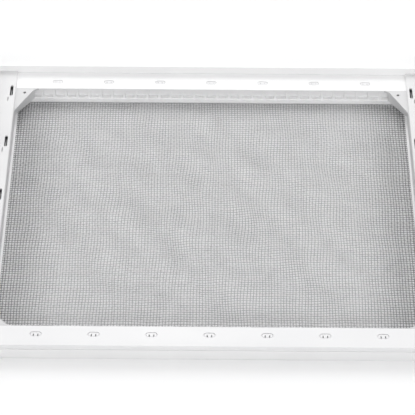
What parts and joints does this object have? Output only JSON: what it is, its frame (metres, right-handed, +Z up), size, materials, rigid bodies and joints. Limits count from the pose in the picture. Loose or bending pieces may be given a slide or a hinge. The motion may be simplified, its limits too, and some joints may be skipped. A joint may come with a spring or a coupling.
{
  "type": "screened hive board",
  "caption": "White moulded beehive board: a rectangular frame with ribbed inner walls, corner gussets and snap studs, holding a woven wire screen above the ground.",
  "frame": {"origin": "on the ground, under the middle of the outer size", "axes": "+X across the hive along the longest side, to the right seen from the open front; +Y towards the rear lip; +Z up"},
  "size_m": [0.505, 0.4054, 0.0302],
  "materials": {
    "upper_frame": "satin white moulded polypropylene",
    "lower_frame": "satin white moulded polypropylene",
    "lip": "satin white moulded polypropylene",
    "inner_trim": "satin white moulded polypropylene, slightly translucent",
    "snap_fasteners": "satin white moulded polypropylene",
    "screen_wire": "drawn stainless wire, semi-bright"
  },
  "bodies": {
    "root": {"upper_front_rail": "upper_frame", "upper_rear_rail": "upper_frame", "upper_left_rail": "upper_frame", "upper_right_rail": "upper_frame", "gusset_front_left": "upper_frame", "gusset_front_right": "upper_frame", "gusset_rear_left": "upper_frame", "gusset_rear_right": "upper_frame", "lower_front_channel": "lower_frame", "lower_rear_channel": "lower_frame", "lower_left_channel": "lower_frame", "lower_right_channel": "lower_frame", "rear_lip": "lip", "left_lip": "lip", "right_lip": "lip", "front_ribbed_wall": "inner_trim", "rear_ribbed_wall": "inner_trim", "front_clamp_strip": "inner_trim", "rear_clamp_strip": "inner_trim", "left_clamp_strip": "inner_trim", "right_clamp_strip": "inner_trim", "front_snap_studs": "snap_fasteners", "rear_snap_studs": "snap_fasteners", "left_snap_tongues": "snap_fasteners", "right_snap_tongues": "snap_fasteners", "screen_long_wires": "screen_wire", "screen_cross_wires": "screen_wire"}
  },
  "joints": []
}
